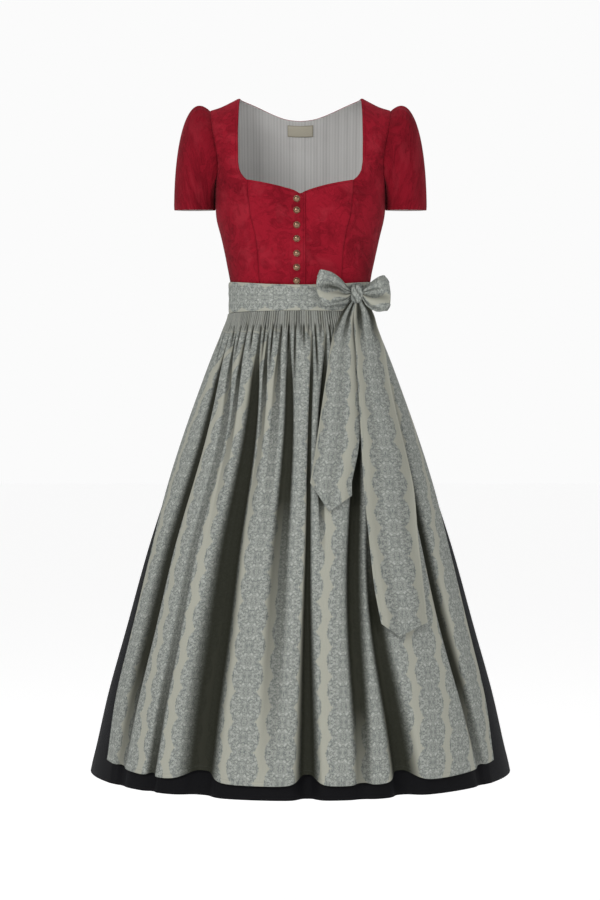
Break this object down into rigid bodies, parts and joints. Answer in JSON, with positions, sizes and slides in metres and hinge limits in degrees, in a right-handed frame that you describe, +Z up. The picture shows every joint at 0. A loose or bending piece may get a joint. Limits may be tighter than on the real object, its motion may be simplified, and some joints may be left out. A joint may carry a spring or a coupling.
{
  "type": "dirndl",
  "caption": "Long dirndl with a buttoned sweetheart bodice, short puff sleeves, full gathered skirt and wrap apron tied in a side bow.",
  "frame": {"origin": "midway between the two shoulder seams, at the height where the wearer's shoulders carry the dress", "axes": "+Z up, -Y out of the front, +X to the wearer's left"},
  "size_m": [0.8375, 0.7949, 1.3387],
  "materials": {
    "velvet": "deep red velvet with a tone-on-tone scroll pattern",
    "lining": "grey cotton with fine vertical stripes",
    "skirt_cloth": "black wool blend, soft sheen",
    "apron_cloth": "sage jacquard with woven stripes, satin sheen",
    "button_metal": "antique metal with darkened filigree",
    "label_cloth": "taupe woven tape, blank"
  },
  "bodies": {
    "root": {"front_centre_right": "velvet", "front_centre_left": "velvet", "front_side_right": "velvet", "front_side_left": "velvet", "back": "velvet", "back_lining": "lining", "label": "label_cloth", "sleeve_right": "velvet", "sleeve_left": "velvet", "button_1": "button_metal", "button_2": "button_metal", "button_3": "button_metal", "button_4": "button_metal", "button_5": "button_metal", "button_6": "button_metal", "button_7": "button_metal", "skirt_front": "skirt_cloth", "skirt_back": "skirt_cloth", "apron": "apron_cloth", "apron_band": "apron_cloth", "bow_knot": "apron_cloth", "bow_loop_right": "apron_cloth", "bow_loop_left": "apron_cloth", "bow_tail_right": "apron_cloth", "bow_tail_left": "apron_cloth"}
  },
  "joints": []
}
